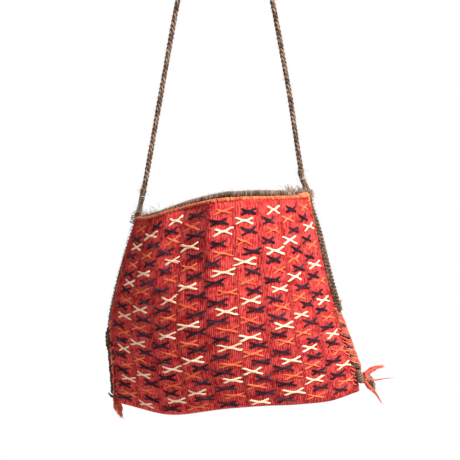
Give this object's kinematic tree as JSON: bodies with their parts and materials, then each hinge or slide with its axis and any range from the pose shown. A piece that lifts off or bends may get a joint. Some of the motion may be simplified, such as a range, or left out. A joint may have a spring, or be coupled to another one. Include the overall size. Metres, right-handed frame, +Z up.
{
  "type": "carpet shoulder bag",
  "caption": "Soft pouch of thick woven wool with an open mouth, hung from one twisted rope strap, with side braids and corner tassels.",
  "frame": {"origin": "inner side of the strap at its highest point, where a shoulder or a peg carries the bag", "axes": "+Z up, the bag's front faces -Y, its width runs along X"},
  "size_m": [0.5728, 0.1631, 0.995],
  "materials": {
    "red_cloth": "thick flat-woven wool, matte, ribbed",
    "orange_wool": "overcast wool, matte",
    "grey_brown_wool": "overcast undyed wool, matte",
    "strap_wool": "twisted undyed wool, fuzzy",
    "braid_wool": "plaited undyed wool, fuzzy",
    "coral_wool": "wrapped dyed wool, matte",
    "brown_wool": "wrapped undyed wool, matte"
  },
  "bodies": {
    "root": {"back_lip_selvedge": "grey_brown_wool", "bag_cloth": "red_cloth", "front_lip_selvedge": "orange_wool", "left_brown_tuft": "brown_wool", "left_brown_wrap_1": "brown_wool", "left_brown_wrap_2": "brown_wool", "left_brown_wrap_3": "brown_wool", "left_brown_wrap_4": "brown_wool", "left_brown_wrap_5": "brown_wool", "left_brown_wrap_6": "brown_wool", "left_coral_tuft": "coral_wool", "left_coral_wrap_1": "coral_wool", "left_coral_wrap_2": "coral_wool", "left_coral_wrap_3": "coral_wool", "left_coral_wrap_4": "coral_wool", "left_coral_wrap_5": "coral_wool", "left_coral_wrap_6": "coral_wool", "left_corner_knot": "brown_wool", "left_side_braid": "braid_wool", "left_strap_root": "strap_wool", "left_tassel_collar": "coral_wool", "right_brown_tuft": "brown_wool", "right_brown_wrap_1": "brown_wool", "right_brown_wrap_2": "brown_wool", "right_brown_wrap_3": "brown_wool", "right_brown_wrap_4": "brown_wool", "right_brown_wrap_5": "brown_wool", "right_brown_wrap_6": "brown_wool", "right_coral_wrap_1": "coral_wool", "right_coral_wrap_2": "coral_wool", "right_coral_wrap_3": "coral_wool", "right_coral_wrap_4": "coral_wool", "right_coral_wrap_5": "coral_wool", "right_coral_wrap_6": "coral_wool", "right_corner_knot": "brown_wool", "right_lower_strand": "coral_wool", "right_side_braid": "braid_wool", "right_strap_root": "strap_wool", "right_tassel_collar": "coral_wool", "right_thin_strand": "coral_wool", "right_upper_tuft": "coral_wool", "strap_rope": "strap_wool"}
  },
  "joints": []
}
